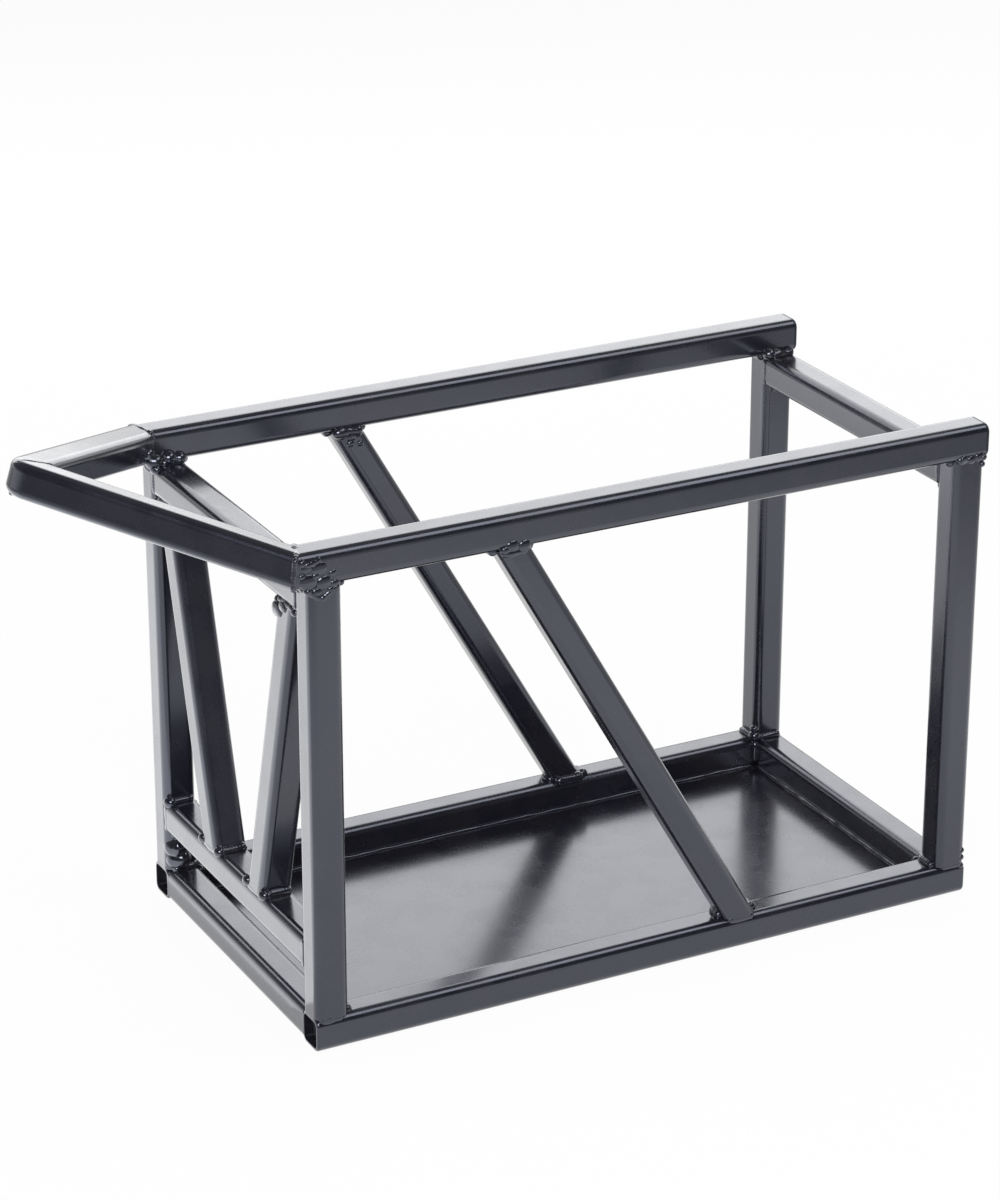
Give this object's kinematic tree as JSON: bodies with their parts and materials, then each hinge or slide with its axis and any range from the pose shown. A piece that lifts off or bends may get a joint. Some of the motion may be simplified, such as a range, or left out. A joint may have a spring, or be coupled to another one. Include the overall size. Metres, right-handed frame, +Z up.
{
  "type": "firewood log rack",
  "caption": "Open firewood rack welded from square tube: floor plate, legs, side and V braces, and a V-shaped bow that slopes up at one end.",
  "frame": {"origin": "centre of the bounding box on the floor, under the bottom rails", "axes": "+X along the rack from the bow to the tail end, +Y across it to the far side, +Z up"},
  "size_m": [0.548, 0.2304, 0.3307],
  "materials": {
    "tube_paint": "gloss",
    "plate_paint": "semi-gloss",
    "weld_paint": "gloss",
    "cap_plastic": "matte"
  },
  "bodies": {
    "root": {"bottom_cross_nose": "tube_paint", "bottom_cross_tail": "tube_paint", "bottom_rail_far": "tube_paint", "bottom_rail_near": "tube_paint", "bow_tube_far": "tube_paint", "bow_tube_near": "tube_paint", "cap_bottom_nose_far": "cap_plastic", "cap_bottom_nose_near": "cap_plastic", "cap_bottom_tail_far": "cap_plastic", "cap_bottom_tail_near": "cap_plastic", "cap_top_tail_far": "cap_plastic", "cap_top_tail_near": "cap_plastic", "floor_plate": "plate_paint", "leg_nose_far": "tube_paint", "leg_nose_near": "tube_paint", "leg_tail_far": "tube_paint", "leg_tail_near": "tube_paint", "nose_bar": "tube_paint", "nose_brace_far": "tube_paint", "nose_brace_near": "tube_paint", "side_brace_far": "tube_paint", "side_brace_near": "tube_paint", "top_cross_nose": "tube_paint", "top_cross_tail": "tube_paint", "top_rail_far": "tube_paint", "top_rail_near": "tube_paint", "weld_bow_tip": "weld_paint", "welds_base_corners": "weld_paint", "welds_floor_plate": "weld_paint", "welds_leg_feet": "weld_paint", "welds_leg_tops": "weld_paint", "welds_nose_bar": "weld_paint", "welds_nose_braces": "weld_paint", "welds_outer_faces": "weld_paint", "welds_side_braces": "weld_paint", "welds_top_cross": "weld_paint"}
  },
  "joints": []
}
